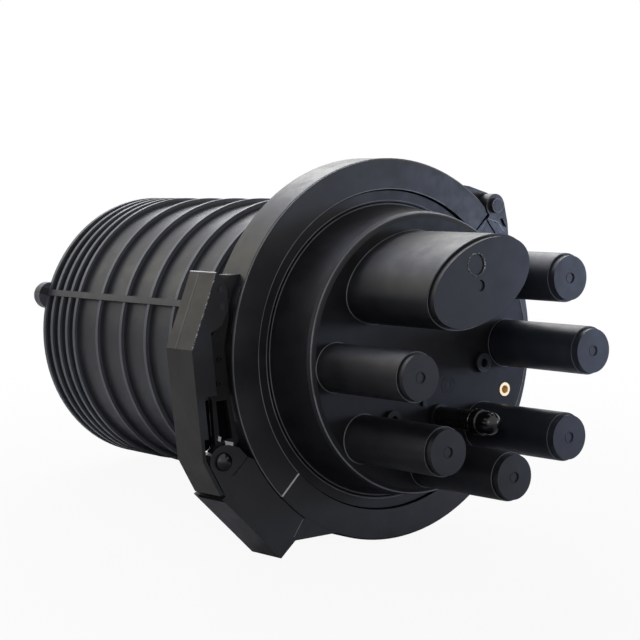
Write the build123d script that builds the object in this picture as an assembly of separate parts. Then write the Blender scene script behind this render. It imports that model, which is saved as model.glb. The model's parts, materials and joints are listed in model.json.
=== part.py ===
from build123d import *
import math
import os

# Dome splice closure lying on its side, in millimetres.
# X runs along the closure: the ports point to +X and the dome runs to -X.
# The origin is the middle of the outer face of the base, and Z points up.
# An angle round the axis is measured from +Y towards +Z.

# Clamp ring
ring_radius = 150.0
ring_front = -41.9
ring_width = 33.5
ring_depth = 24.0
ring_wall = 8.0
ring_lip = 5.6
ring_cone_rise = 3.8
ring_slit_width = 1.6
latch_split_angle = -137.5
hinge_angle = 42.5

# Seat between the pieces
flange_clearance = 0.35
turning_clearance = 0.3

# Base
base_rim_inset = 12.0
base_draft = 4.7
base_wall = 4.5
base_shoulder = 5.0
base_flange_front = -44.6
base_spigot_length = 16.0
base_spigot_wall = 4.0

# Ports
port_pair_count = 3
port_pair_pitch = 89.3
port_pair_angle = 42.0
port_edge_margin = 5.4
port_radius = 18.5
port_length = 97.6
port_wall = 3.0
port_tip_radius = 16.8
port_tip_length = 5.5
oval_angle = 111.5
oval_edge_margin = 13.2
oval_half_width = 51.0
oval_half_height = 30.5
oval_tip_inset = 2.0
oval_wall = 3.5
gate_mark_radius = 3.8
gate_mark_depth = 0.8
oval_mark_radius = 8.0

# Small things on the face of the base, placed inward from the port circle and by angle
screw_boss_radius = 7.6
screw_boss_height = 4.0
screw_boss_bore = 3.4
screw_boss_spots = [(25.6, -12.8), (26.6, -126.0)]
pip_radius = 2.4
pip_height = 2.0
pip_spots = [(47.0, -93.0)]
insert_inset = -4.6
insert_angle = -24.4
insert_radius = 5.4
insert_bore = 3.3
insert_length = 14.0
insert_boss_radius = 8.5
valve_inset = 33.8
valve_angle = -76.6
valve_collar_radius = 9.6
valve_collar_height = 4.0
valve_stem_radius = 5.6
valve_body_radius = 8.0
valve_thread_radius = 5.0
valve_stem_bore = 2.0
valve_stem_front = 58.0
valve_cap_radius = 8.7
valve_cap_grip = 1.3
valve_cap_grip_length = 9.0
valve_cap_rear = 44.0
valve_cap_length = 24.0
valve_nut_radius = 9.0
valve_nut_height = 6.0

# Dome
dome_length = 340.0
dome_rim_inset = 12.5
dome_draft = 2.5
dome_wall = 4.0
dome_rib_height = 4.7
dome_rib_width = 4.6
dome_rib_count = 7
dome_first_rib_gap = 25.1
end_rib_gap = 1.15
end_rib_count = 4
end_rib_pitch = 12.65
end_shoulder = 13.0
end_crown = 6.0
seam_angle = 160.0
seam_height = 5.5
seam_thickness = 5.4
knob_radius = 11.5
knob_length = 12.0

# Seal
seal_section = 6.0
seal_inset = 5.0
seal_slack = 0.2

# Hinge of the clamp
hinge_rise = 7.0
hinge_knuckle = 9.6
hinge_pin_radius = 4.0
hinge_pin_head = 6.0
hinge_pin_head_height = 3.0
hinge_upper_reach = 14.0
hinge_lower_reach = -11.5

# Latch, given from the centre of its lower pivot
latch_pivot_rise = 25.15
latch_pivot_angle = -157.5
latch_front = -42.0
latch_width = 34.0
latch_plate = 4.0
latch_skin = 3.0
lever_pivot = (4.0, 128.1)
hook_arm = 13.0
hook_lead = 9.0
lever_top = (0.8, 140.6)
lever_knee = (-23.7, 85.6)
lever_low_knee = (-18.4, 1.6)
lever_end = (-4.4, -25.4)
lever_flange = 7.0
lever_flange_end = 18.0
lever_ear_corner = (7.0, 136.6)
lever_ear_side = (10.4, 127.5)
lever_ear_low = (9.8, 112.0)
lever_ear_foot = (3.9, 101.5)
lever_panel_top = (-6.2, 96.6)
lever_panel_foot = (-3.4, 50.0)
latch_pin_radius = 5.0
lever_pin_radius = 2.2
hook_pin_radius = 2.6
pin_head_radius = 6.8
pin_head_height = 4.0
link_hub = 10.4
link_eye = 4.6
block_ear = 11.8
block_rear_overhang = 4.0
block_wall = 4.0
block_gap = 1.0
spring_width = 11.0
spring_thickness = 1.2

# Inside
frame_half_width = 62.0
frame_sheet = 2.0
frame_level = -24.0
frame_start = -30.0
frame_tail = 5.0
frame_foot_bottom = -60.0
frame_foot_top = -8.0
frame_edge = 8.0
post_radius = 7.0
post_offset = 45.0
post_level = -36.0
bolt_radius = 2.5
bolt_head_radius = 4.5
bolt_head_height = 3.5
tray_count = 4
tray_length = 258.0
tray_half_width = 64.0
tray_height = 11.0
tray_pitch = 15.0
tray_floor = 2.0
tray_start = -72.0
tray_first_level = -16.0
tray_corner = 12.0
tray_rim = 2.0
tray_spool_radius = 26.0
tray_lug_length = 17.0
tray_lug_width = 9.0
tray_lug_height = 8.0
tray_lug_offset = 20.0
basket_half_width = 55.0
basket_bottom = -72.0
basket_start = -62.0
anchor_count = 6
anchor_pitch = 20.0
anchor_size = 11.0

# Sizes that follow from those above
ring_rear = ring_front - ring_width
ring_middle = ring_front - ring_width / 2
ring_mouth_radius = ring_radius - ring_depth
ring_channel_radius = ring_radius - ring_wall
hinge_radius = ring_radius + hinge_rise
latch_pivot_radius = ring_radius + latch_pivot_rise
base_root_radius = ring_mouth_radius - base_rim_inset
base_face_radius = base_root_radius - base_draft
port_circle_radius = base_face_radius - port_radius - port_edge_margin
oval_centre_radius = base_face_radius - oval_half_height - oval_edge_margin
dome_root_radius = ring_mouth_radius - dome_rim_inset
dome_end_radius = dome_root_radius - dome_draft
seal_radius = ring_mouth_radius - seal_inset
flange_radius = ring_channel_radius - flange_clearance * 2
flange_tip_front = ring_front - ring_lip - ring_cone_rise - flange_clearance
flange_tip_rear = ring_rear + ring_lip + ring_cone_rise + flange_clearance
mouth_front = ring_front - ring_lip - flange_clearance
mouth_rear = ring_rear + ring_lip + flange_clearance
dome_back = ring_middle - dome_length
dome_shoulder = dome_back + end_crown + end_shoulder
last_end_rib = dome_shoulder + end_rib_gap
last_hoop_rib = last_end_rib + end_rib_pitch * end_rib_count
first_hoop_rib = ring_rear - dome_first_rib_gap
frame_end = tray_start - tray_length - frame_tail
latch_middle = latch_front - latch_width / 2
base_inner_root = base_root_radius - base_wall
base_inner_face = base_face_radius - base_wall


def turned(points, start=0.0, arc=360.0):
    """Solid made by turning a closed outline of (x, radius) points about the axis."""
    outline = make_face(Polyline(*points, close=True))
    return Rot(start, 0, 0) * revolve(outline, Axis.X, revolution_arc=arc)


def turned_at(place, points):
    """Solid made by turning a closed outline about a line along X through a place."""
    return Pos(0, place[0], place[1]) * turned(points)


def rod(place, radius, x_low, x_high):
    """Round bar along X."""
    middle = (x_low + x_high) / 2
    return Pos(middle, place[0], place[1]) * Rot(0, 90, 0) * Cylinder(radius, x_high - x_low)


def block(x_low, x_high, y_low, y_high, z_low, z_high):
    """Square block between two corners."""
    centre = Pos((x_low + x_high) / 2, (y_low + y_high) / 2, (z_low + z_high) / 2)
    return centre * Box(x_high - x_low, y_high - y_low, z_high - z_low)


def slab(x_low, x_high, half_width, corner, z_low, z_high):
    """Level plate with its four corners cut off."""
    outline = make_face(Polyline(
        (x_low + corner, -half_width),
        (x_high - corner, -half_width),
        (x_high, -half_width + corner),
        (x_high, half_width - corner),
        (x_high - corner, half_width),
        (x_low + corner, half_width),
        (x_low, half_width - corner),
        (x_low, -half_width + corner),
        close=True,
    ))
    return extrude(Plane.XY.offset(z_low) * outline, amount=z_high - z_low)


def plate(points, x_front, thickness):
    """Flat plate with a closed outline of (y, z) points, reaching back from x_front."""
    outline = make_face(Polyline(*points, close=True))
    return extrude(Plane.YZ.offset(x_front) * outline, amount=-thickness)


def polar(radius, angle):
    """The (y, z) place at a radius and an angle round the axis."""
    turn = math.radians(angle)
    return (radius * math.cos(turn), radius * math.sin(turn))


def shifted(place, step):
    """A (y, z) place moved by a step."""
    return (place[0] + step[0], place[1] + step[1])


def beside(path, distance):
    """The path moved sideways by a distance, to the left of its direction."""
    moved = []
    for index, point in enumerate(path):
        before = path[max(index - 1, 0)]
        after = path[min(index + 1, len(path) - 1)]
        first = unit(before, point) if index > 0 else unit(point, after)
        second = unit(point, after) if index < len(path) - 1 else first
        middle = (first[0] + second[0], first[1] + second[1])
        size = math.hypot(*middle)
        middle = (middle[0] / size, middle[1] / size)
        reach = distance / (middle[0] * first[0] + middle[1] * first[1])
        moved.append((point[0] - middle[1] * reach, point[1] + middle[0] * reach))
    return moved


def unit(start, end):
    """Direction from one place to another."""
    size = math.dist(start, end)
    return ((end[0] - start[0]) / size, (end[1] - start[1]) / size)


def strip(path, thickness, x_front, width):
    """Bent strip that follows a path of (y, z) points, on its left side."""
    return plate(path + beside(path, thickness)[::-1], x_front, width)


def port_places():
    """Centres of the round ports, in pairs that lie evenly opposite the oval port."""
    middle = oval_angle - 180
    places = []
    for pair in range(port_pair_count):
        pair_angle = middle + port_pair_pitch * ((port_pair_count - 1) / 2 - pair)
        for side in (1, -1):
            places.append(polar(port_circle_radius, pair_angle + side * port_pair_angle / 2))
    return places


def on_face(spot):
    """The place of a spot given inward from the port circle and by its angle."""
    return polar(port_circle_radius - spot[0], spot[1])


def screw_boss_places():
    return [on_face(spot) for spot in screw_boss_spots]


def insert_place():
    return on_face((insert_inset, insert_angle))


def valve_place():
    return on_face((valve_inset, valve_angle))


def oval(half_width, half_height, x_low, x_high):
    """Oval bar along X at the place of the large port."""
    outline = Rot(0, 0, oval_angle - 90) * Ellipse(half_width, half_height)
    centre = polar(oval_centre_radius, oval_angle)
    placed = Plane.YZ.offset(x_low) * Pos(centre[0], centre[1], 0) * outline
    return extrude(placed, amount=x_high - x_low)


# Base with its ports
def make_base():
    flange_inner = base_inner_root
    shell = turned([
        (0, 0),
        (0, base_face_radius - base_shoulder),
        (-base_shoulder * 0.3, base_face_radius - base_shoulder * 0.3),
        (-base_shoulder, base_face_radius),
        (base_flange_front, base_root_radius),
        (base_flange_front, ring_mouth_radius - 1.2),
        (mouth_front, ring_mouth_radius),
        (flange_tip_front, flange_radius),
        (ring_middle, flange_radius),
        (ring_middle, flange_inner),
        (-base_wall, base_inner_face),
        (-base_wall, 0),
    ])
    groove = turned([
        (ring_middle, seal_radius - seal_section / 2 - seal_slack),
        (ring_middle, seal_radius + seal_section / 2 + seal_slack),
        (ring_middle + seal_section + 0.1, seal_radius + seal_section / 2 + seal_slack),
        (ring_middle + seal_section + 0.1, seal_radius - seal_section / 2 - seal_slack),
    ])
    spigot_outer = dome_root_radius - dome_wall - 0.6
    spigot = turned([
        (ring_middle + 6, spigot_outer - base_spigot_wall),
        (ring_middle + 6, spigot_outer + 1.5),
        (ring_middle, spigot_outer + 1.5),
        (ring_middle, spigot_outer),
        (ring_middle - base_spigot_length, spigot_outer - 0.6),
        (ring_middle - base_spigot_length, spigot_outer - base_spigot_wall),
    ])
    body = shell - groove + spigot
    for place in port_places():
        body += rod(place, port_radius, -base_wall, port_length - port_tip_length)
        body += rod(place, port_tip_radius, 0, port_length)
    tip = port_length - port_tip_length
    body += oval(oval_half_width, oval_half_height, -base_wall, tip)
    inset = oval_tip_inset
    body += oval(oval_half_width - inset, oval_half_height - inset, 0, port_length)
    for place in port_places():
        bore = port_radius - port_wall
        body -= rod(place, bore, -base_wall - 1, tip - port_wall)
        body -= rod(place, gate_mark_radius, port_length - gate_mark_depth, port_length + 1)
    body -= oval(
        oval_half_width - oval_wall, oval_half_height - oval_wall, -base_wall - 1, tip - port_wall
    )
    return add_face_features(body)


def add_face_features(body):
    """Bosses, marks and seats on the faces of the base."""
    mark = polar(oval_centre_radius + 14.2, oval_angle)
    body -= rod(mark, oval_mark_radius, port_length - gate_mark_depth, port_length + 1)
    pit = polar(oval_centre_radius - 1.3, oval_angle + 2.5)
    body -= rod(pit, gate_mark_radius + 0.4, port_length - gate_mark_depth * 1.5, port_length + 1)
    for place in screw_boss_places():
        body += rod(place, screw_boss_radius, -base_wall, screw_boss_height)
        body -= rod(place, screw_boss_bore, -1, screw_boss_height + 1)
    for spot in pip_spots:
        body += rod(on_face(spot), pip_radius, -1, pip_height)
    body += rod(insert_place(), insert_boss_radius, -insert_length - 2, -1)
    body -= rod(insert_place(), insert_radius, -insert_length, 1)
    body += rod(valve_place(), valve_collar_radius, -base_wall, valve_collar_height)
    body -= rod(valve_place(), valve_stem_radius, -base_wall - 1, valve_collar_height + 1)
    for side in (-1, 1):
        post = (side * post_offset, post_level)
        body += rod(post, post_radius, frame_start, -1)
        body -= rod(post, bolt_radius, frame_start - 1, frame_start + 14)
    return body


# Dome
def make_dome():
    outer = [
        (ring_middle, dome_root_radius - dome_wall),
        (ring_middle, flange_radius),
        (flange_tip_rear, flange_radius),
        (mouth_rear, ring_mouth_radius),
        (mouth_rear - 3, dome_root_radius + 4),
        (mouth_rear - 8, dome_root_radius),
        (dome_shoulder, dome_end_radius),
    ]
    outer += dome_end(0)
    inner = dome_end(dome_wall)[::-1]
    inner.append((dome_shoulder, dome_end_radius - dome_wall))
    cavity = inner + [(ring_middle + 1, dome_root_radius - dome_wall), (ring_middle + 1, 0)]
    body = turned(outer + [(ring_middle, 0)])
    hoop_pitch = (first_hoop_rib - last_hoop_rib) / (dome_rib_count - 1)
    for number in range(dome_rib_count):
        body += dome_rib(first_hoop_rib - hoop_pitch * number)
    for number in range(end_rib_count):
        body += dome_rib(last_end_rib + end_rib_pitch * number)
    for angle in (seam_angle, seam_angle - 180):
        body += Rot(angle, 0, 0) * dome_seam()
    return body + make_knob() - turned(cavity)


def dome_surface(x):
    """Outer radius of the drafted wall of the dome at a place along it."""
    share = (mouth_rear - 8 - x) / (mouth_rear - 8 - dome_shoulder)
    return dome_root_radius - dome_draft * share


def dome_end(inset):
    """Points of the rounded shoulder and the shallow crown that close the dome."""
    shoulder = end_shoulder - inset
    radius = dome_end_radius - inset
    points = []
    for angle in (22.5, 45.0, 67.5, 90.0):
        turn = math.radians(angle)
        reach = shoulder * math.sin(turn)
        points.append((dome_shoulder - reach, radius - shoulder * (1 - math.cos(turn))))
    points.append((dome_back + inset, radius * 0.5))
    points.append((dome_back + inset, 0))
    return points


def dome_rib(x_centre):
    """One hoop rib, a little narrower at its crest."""
    foot = dome_rib_width / 2
    crest = foot * 0.8
    surface = dome_surface(x_centre)
    return turned([
        (x_centre - foot, surface - dome_wall / 2),
        (x_centre + foot, surface - dome_wall / 2),
        (x_centre + crest, surface + dome_rib_height),
        (x_centre - crest, surface + dome_rib_height),
    ])


def dome_seam():
    """Straight rib along the side of the dome, over the ribs."""
    front = mouth_rear - 4
    rear = dome_shoulder - 1
    outline = make_face(Polyline(
        (rear, dome_surface(rear) - dome_wall / 2),
        (front, dome_surface(front) - dome_wall / 2),
        (front, dome_surface(front) + seam_height),
        (rear, dome_surface(rear) + seam_height),
        close=True,
    ))
    return extrude(outline, amount=seam_thickness / 2, both=True)


def make_knob():
    """Round lug at the far end of the side rib."""
    edge = knob_radius * 0.3
    rear = dome_shoulder - knob_length
    place = polar(dome_end_radius + dome_rib_height - 3.0, seam_angle + 1)
    return turned_at(place, [
        (dome_shoulder, 0),
        (dome_shoulder, knob_radius),
        (rear + edge, knob_radius),
        (rear + edge * 0.3, knob_radius - edge * 0.3),
        (rear, knob_radius - edge),
        (rear, 0),
    ])


def make_seal():
    """Seal ring with an eight-sided section."""
    half = seal_section / 2
    points = []
    for number in range(8):
        turn = math.radians(22.5 + 45 * number)
        reach = half / math.cos(math.radians(22.5))
        points.append((ring_middle + half + reach * math.cos(turn), seal_radius + reach * math.sin(turn)))
    return turned(points)


# Clamp ring in two halves
def clamp_channel(start, arc):
    """Part of the ring, with a tapered channel that squeezes both flanges."""
    edge = 1.2
    return turned([
        (ring_front, ring_mouth_radius),
        (ring_front, ring_radius - edge),
        (ring_front - edge, ring_radius),
        (ring_rear + edge, ring_radius),
        (ring_rear, ring_radius - edge),
        (ring_rear, ring_mouth_radius),
        (ring_rear + ring_lip, ring_mouth_radius),
        (ring_rear + ring_lip + ring_cone_rise, ring_channel_radius),
        (ring_front - ring_lip - ring_cone_rise, ring_channel_radius),
        (ring_front - ring_lip, ring_mouth_radius),
    ], start, arc)


def half_slit():
    """Half of the slit between the clamp halves, as an angle."""
    return math.degrees(ring_slit_width / 2 / ring_radius)


def hinge_place():
    return polar(hinge_radius, hinge_angle)


def hinge_arm(reach, x_front, length):
    """Arm from the ring to a knuckle of the hinge."""
    centre = hinge_place()
    far = polar(ring_radius + 0.6, hinge_angle + reach)
    deep = polar(ring_radius - 7, hinge_angle + reach * 0.93)
    near = polar(ring_radius - 7, hinge_angle + math.copysign(half_slit() + 0.3, reach))
    middle = polar(ring_radius + 7.6, hinge_angle + reach * 0.62)
    tangent = polar(hinge_radius + hinge_knuckle * 0.93, hinge_angle + reach * 0.13)
    arm = plate([deep, far, middle, tangent, centre, near], x_front, length)
    return arm + rod(centre, hinge_knuckle, x_front - length, x_front)


def hinge_bays():
    """Front end and length of the three knuckles, the middle one on the upper half."""
    third = (ring_width + 2.0) / 3
    return [(ring_front + 1.0 - third * index, third - turning_clearance) for index in range(3)]


def hinge_cut(radius):
    """Bar through the whole width of the hinge, for its holes."""
    return rod(hinge_place(), radius, ring_rear - ring_width, ring_front + ring_width)


def make_clamp_upper():
    start = hinge_angle + half_slit()
    body = clamp_channel(start, 180 - 2 * half_slit())
    front, length = hinge_bays()[1]
    body -= hinge_cut(hinge_knuckle + 0.6)
    body += hinge_arm(hinge_upper_reach, front, length)
    body -= hinge_cut(hinge_pin_radius)
    return body + make_catch()


def make_clamp_lower():
    start = latch_split_angle + half_slit()
    body = clamp_channel(start, 180 - 2 * half_slit())
    body -= hinge_cut(hinge_knuckle + 0.6)
    for index in (0, 2):
        front, length = hinge_bays()[index]
        body += hinge_arm(hinge_lower_reach, front, length)
    front_panel = [
        polar(ring_radius + 5.6, hinge_angle - 4.6),
        polar(ring_radius + 4.6, hinge_angle - 8.0),
        polar(ring_radius - 3.4, hinge_angle - 3.2),
    ]
    body -= plate(front_panel, ring_front + 1.5, 2.3)
    body -= hinge_cut(hinge_pin_radius)
    return body + make_latch_block()


def make_hinge_pin():
    front = ring_front + 1.0
    rear = ring_rear - 1.0
    pin = rod(hinge_place(), hinge_pin_radius, rear - 2, front)
    head = rod(hinge_place(), hinge_pin_head, front, front + hinge_pin_head_height)
    socket = Plane.YZ.offset(front + hinge_pin_head_height) * Pos(*hinge_place(), 0)
    return pin + head - extrude(socket * RegularPolygon(2.6, 6), amount=-2.0)


# Latch
def pivot():
    return polar(latch_pivot_radius, latch_pivot_angle)


def from_pivot(step):
    return shifted(pivot(), step)


def lever_axis():
    return from_pivot(lever_pivot)


def hook_place():
    """Hook pin: below the lever pivot and a little nearer to the ring than dead centre."""
    to_pivot = math.degrees(math.atan2(-lever_pivot[1], -lever_pivot[0]))
    return shifted(lever_axis(), polar(hook_arm, to_pivot + hook_lead))


def latch_rear():
    return latch_front - latch_width


def link_front():
    return latch_front - latch_plate - 0.6


def link_rear():
    return latch_rear() + latch_plate + 0.6


def make_catch():
    """Ledge on the upper half that the hook pin pulls down on."""
    hook = hook_place()
    ledge = hook[1] - hook_pin_radius - turning_clearance
    back = hook[0] + hook_pin_radius + turning_clearance + 0.2
    axis = lever_axis()
    x_front = link_front() - latch_plate - 1.0
    x_rear = link_rear() + latch_plate + 1.0
    outline = [
        (back - 11, ledge),
        (back, ledge),
        (back, ledge + 4.6),
        (axis[0] + 14.2, axis[1] - 9.0),
        (axis[0] + 15.2, axis[1] + 9.0),
        (axis[0] + 40, axis[1] + 9.0),
        (axis[0] + 40, ledge - 17),
        (back + 4, ledge - 17),
        (back - 11, ledge - 5),
    ]
    tongue = plate(outline, x_front, x_front - x_rear)
    low = math.degrees(math.atan2(axis[1] + 9, axis[0]))
    high = math.degrees(math.atan2(ledge - 17, hook[0]))
    pad = turned([
        (ring_front - 2, ring_channel_radius + 4),
        (ring_front - 2, ring_radius + 1.0),
        (ring_rear + 2, ring_radius + 1.0),
        (ring_rear + 2, ring_channel_radius + 4),
    ], low, high - low)
    far = latch_pivot_radius + latch_width
    keep = turned([
        (ring_front + latch_width, ring_channel_radius + 3),
        (ring_front + latch_width, far),
        (ring_rear - latch_width, far),
        (ring_rear - latch_width, ring_channel_radius + 3),
    ])
    return (tongue & keep) + pad


def make_latch_block():
    """Wedge on the lower half, with two ears that carry the pivot of the link."""
    centre = pivot()
    rear = latch_rear() - block_rear_overhang
    under = from_pivot((0, -80.2))[1]
    body_outline = [
        from_pivot((-10.4, -5.4)),
        from_pivot((0.4, -26.3)),
        from_pivot((-3.0, -28.0)),
        (centre[0] + 48.5, under - 0.8),
        (centre[0] + 62.7, under + 10.8),
        polar(ring_radius - 4, latch_split_angle + 27),
        polar(ring_radius - 5, latch_split_angle + 16),
        polar(ring_radius - 5, latch_split_angle - 2),
        polar(ring_radius - 5, latch_split_angle - 12),
        from_pivot((22.5, 0.6)),
        from_pivot((8.4, -11.6)),
    ]
    body = plate(body_outline, latch_front, latch_front - rear)
    ear_outline = [
        from_pivot((-1.0, block_ear)),
        from_pivot((6.0, block_ear)),
        from_pivot((14.8, 8.8)),
        from_pivot((22.5, 0.6)),
        from_pivot((14.0, -16.0)),
        from_pivot((-6.0, -12.0)),
    ]
    inner_front = link_front() + turning_clearance
    inner_rear = link_rear() - turning_clearance
    for x_front, x_back in ((latch_front - 0.8, inner_front), (inner_rear, latch_rear())):
        body += plate(ear_outline, x_front, x_front - x_back)
        body += rod(centre, block_ear, x_back, x_front)
    bay = block(
        inner_rear, inner_front, centre[0] - 40, centre[0] + 40,
        centre[1] - block_ear - 0.6, centre[1] + 60,
    )
    body -= bay & rod(shifted(centre, (6, 22)), 60, inner_rear - 1, inner_front + 1)
    overhang = turned([
        (latch_front + 5, ring_channel_radius),
        (latch_front + 5, ring_radius + block_gap),
        (rear - 5, ring_radius + block_gap),
        (rear - 5, ring_channel_radius),
    ], latch_split_angle + half_slit(), -60)
    body -= overhang
    body -= block_pockets(rear)
    inside = turned([
        (latch_front + 5, 1),
        (latch_front + 5, ring_channel_radius + 2),
        (rear - 5, ring_channel_radius + 2),
        (rear - 5, 1),
    ])
    body -= inside
    return body - latch_cut(centre, latch_pin_radius)


def latch_cut(place, radius):
    """Bar through the whole width of the latch, for its holes."""
    return rod(place, radius, latch_middle - latch_width, latch_middle + latch_width)


def block_pockets(rear):
    """Hollows that lighten the wedge from behind, with a rib left between them."""
    depth = latch_width + block_rear_overhang - block_wall * 1.5
    first = [
        from_pivot((1.6, -29.2)),
        from_pivot((24.0, -53.5)),
        from_pivot((31.0, -46.0)),
        from_pivot((17.0, -24.0)),
    ]
    second = [
        from_pivot((27.0, -57.0)),
        from_pivot((45.2, -75.5)),
        from_pivot((52.6, -68.5)),
        from_pivot((35.5, -50.0)),
    ]
    return plate(first, rear + depth, depth + 1) + plate(second, rear + depth, depth + 1)


def make_link():
    """Ladder-shaped link between the lower pivot and the lever."""
    centre = pivot()
    axis = lever_axis()
    hook = hook_place()
    clear = hook[0] + hook_pin_radius + 0.7
    outline = [
        shifted(axis, polar(link_eye - 0.3, -20)),
        shifted(axis, (10.6, -8.0)),
        shifted(axis, (9.8, -22.0)),
        from_pivot((8.2, 84.0)),
        from_pivot((10.6, 60.0)),
        from_pivot((11.6, 46.0)),
        from_pivot((15.2, 24.5)),
        from_pivot((17.0, 13.4)),
        from_pivot((12.0, 7.0)),
        from_pivot((-8.6, 3.0)),
        from_pivot((-8.8, 8.0)),
        from_pivot((-4.0, 12.4)),
        from_pivot((-5.0, 46.0)),
        from_pivot((-9.0, 50.0)),
        from_pivot((-8.0, 62.0)),
        from_pivot((-3.6, 93.0)),
        (clear, hook[1] - 8.0),
        (clear, hook[1] + 3.6),
        shifted(axis, polar(link_eye - 0.3, -90)),
    ]
    window = [
        from_pivot((-1.4, 45.0)),
        from_pivot((8.2, 45.0)),
        from_pivot((11.8, 16.0)),
        from_pivot((0.6, 14.6)),
    ]
    body = None
    for x_front in (link_front(), link_rear() + latch_plate):
        side = plate(outline, x_front, latch_plate)
        side += rod(axis, link_eye, x_front - latch_plate, x_front)
        side += rod(centre, link_hub, x_front - latch_plate, x_front)
        side -= plate(window, x_front + 1, latch_plate + 2)
        body = side if body is None else body + side
    body += rod(centre, link_hub - 2.2, link_rear(), link_front())
    span = link_front() - link_rear()
    bars = [
        [(-4.9, 46.2), (10.6, 46.2), (10.2, 51.8), (-8.4, 51.0)],
        [(-4.6, 86.5), (5.6, 86.5), (5.8, 91.0), (-4.2, 91.0)],
    ]
    for bar in bars:
        body += plate([from_pivot(step) for step in bar], link_front(), span)
    body -= latch_cut(centre, latch_pin_radius + turning_clearance)
    return body - latch_cut(axis, lever_pin_radius + turning_clearance)


def make_lever():
    """Handle: an outer skin with two side walls, free at its lower end."""
    path = [from_pivot(step) for step in (lever_top, lever_knee, lever_low_knee, lever_end)]
    body = strip(path, latch_skin, latch_front, latch_width)
    part_way = (path[1][0] * 0.575 + path[2][0] * 0.425, from_pivot(lever_panel_foot)[1])
    wall = [
        path[0],
        from_pivot(lever_ear_corner),
        from_pivot(lever_ear_side),
        from_pivot(lever_ear_low),
        from_pivot(lever_ear_foot),
        from_pivot(lever_panel_top),
        from_pivot(lever_panel_foot),
        part_way,
        path[1],
    ]
    low_share = (path[1][1] - from_pivot((0, lever_flange_end))[1]) / (path[1][1] - path[2][1])
    flange_end = (
        path[1][0] + (path[2][0] - path[1][0]) * low_share,
        from_pivot((0, lever_flange_end))[1],
    )
    for x_front in (latch_front, latch_rear() + latch_plate):
        body += plate(wall, x_front, latch_plate)
        body += strip([part_way, flange_end], lever_flange, x_front, latch_plate)
    crease = beside([path[0], path[1]], -1.0) + beside([path[0], path[1]], 0.8)[::-1]
    body -= plate(crease, latch_rear() + latch_width * 0.38, 1.6)
    body -= latch_cut(lever_axis(), lever_pin_radius)
    return body - latch_cut(hook_place(), hook_pin_radius)


def make_pivot_pin():
    front = latch_front - 0.8
    points = [(latch_rear() - 1.0, 0), (latch_rear() - 1.0, latch_pin_radius), (front, latch_pin_radius)]
    for share in (0, 0.3, 0.6, 0.85):
        rise = math.sqrt(1 - share * share)
        points.append((front + pin_head_height * share, pin_head_radius * rise))
    points.append((front + pin_head_height, pin_head_radius * 0.25))
    points.append((front + pin_head_height, 0))
    return turned_at(pivot(), points)


def make_lever_pin():
    return rod(lever_axis(), lever_pin_radius, latch_rear() - 0.6, latch_front + 0.6)


def make_hook_pin():
    return rod(hook_place(), hook_pin_radius, latch_rear() + 0.4, latch_front - 0.4)


def make_spring():
    """Leaf spring bent over the hub of the link."""
    centre = pivot()
    radius = (link_hub - 2.2) / math.cos(math.radians(8.5)) + 0.05
    path = [from_pivot((8.2, 21.0))]
    for angle in range(40, 211, 17):
        path.append(shifted(centre, polar(radius, angle)))
    middle = (link_front() + link_rear()) / 2
    return strip(path, -spring_thickness, middle + spring_width / 2, spring_width)


# Valve and insert
def make_valve_stem():
    rear = -base_wall - valve_nut_height - 3
    nut = hexagon(valve_place(), valve_nut_radius, -base_wall - valve_nut_height, -base_wall)
    seat = valve_cap_rear - turning_clearance
    stem = turned_at(valve_place(), [
        (rear, 0),
        (rear, valve_stem_radius),
        (valve_collar_height, valve_stem_radius),
        (valve_collar_height, valve_body_radius),
        (seat, valve_body_radius),
        (seat, valve_thread_radius),
        (valve_stem_front, valve_thread_radius),
        (valve_stem_front, 0),
    ])
    return stem + nut - rod(valve_place(), valve_stem_bore, rear - 1, valve_stem_front - 12)


def hexagon(place, radius, x_low, x_high):
    """Six-sided bar along X."""
    centre = Plane.YZ.offset(x_low) * Pos(place[0], place[1], 0)
    return extrude(centre * RegularPolygon(radius, 6), amount=x_high - x_low)


def make_valve_cap():
    front = valve_cap_rear + valve_cap_length
    grip_end = valve_cap_rear + valve_cap_grip_length
    hollow = valve_thread_radius + turning_clearance
    return turned_at(valve_place(), [
        (valve_cap_rear, hollow),
        (valve_cap_rear, valve_cap_radius + valve_cap_grip),
        (grip_end, valve_cap_radius + valve_cap_grip),
        (grip_end, valve_cap_radius),
        (front - 5.0, valve_cap_radius - 0.4),
        (front - 2.4, valve_cap_radius - 1.7),
        (front - 0.6, valve_cap_radius - 4.0),
        (front, valve_cap_radius - 6.4),
        (front, 0),
        (valve_stem_front + 1, 0),
        (valve_stem_front + 1, hollow),
    ])


def make_insert():
    body = rod(insert_place(), insert_radius, -insert_length, 0.6)
    return body - rod(insert_place(), insert_bore, -insert_length + 2, 2)


# Tray frame and what it carries
def make_frame():
    level = frame_level
    top = level + frame_sheet
    sheet = block(frame_end, frame_start, -frame_half_width, frame_half_width, level, top)
    foot = block(
        frame_start - frame_sheet, frame_start, -frame_half_width, frame_half_width,
        frame_foot_bottom, frame_foot_top,
    )
    body = sheet + foot
    for side in (-1, 1):
        inner = side * (frame_half_width - frame_sheet)
        outer = side * frame_half_width
        body += block(
            frame_end, frame_start, min(inner, outer), max(inner, outer), level, level + frame_edge
        )
        body -= rod((side * post_offset, post_level), bolt_radius, frame_start - 5, frame_start + 1)
        body -= frame_window(side)
    return body


def frame_window(side):
    """Long opening in the sheet that lets fibres pass between basket and trays."""
    inner = side * 14.0
    outer = side * 44.0
    return block(
        frame_end + 50, frame_start - 90, min(inner, outer), max(inner, outer),
        frame_level - 1, frame_level + frame_sheet + 1,
    )


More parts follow.
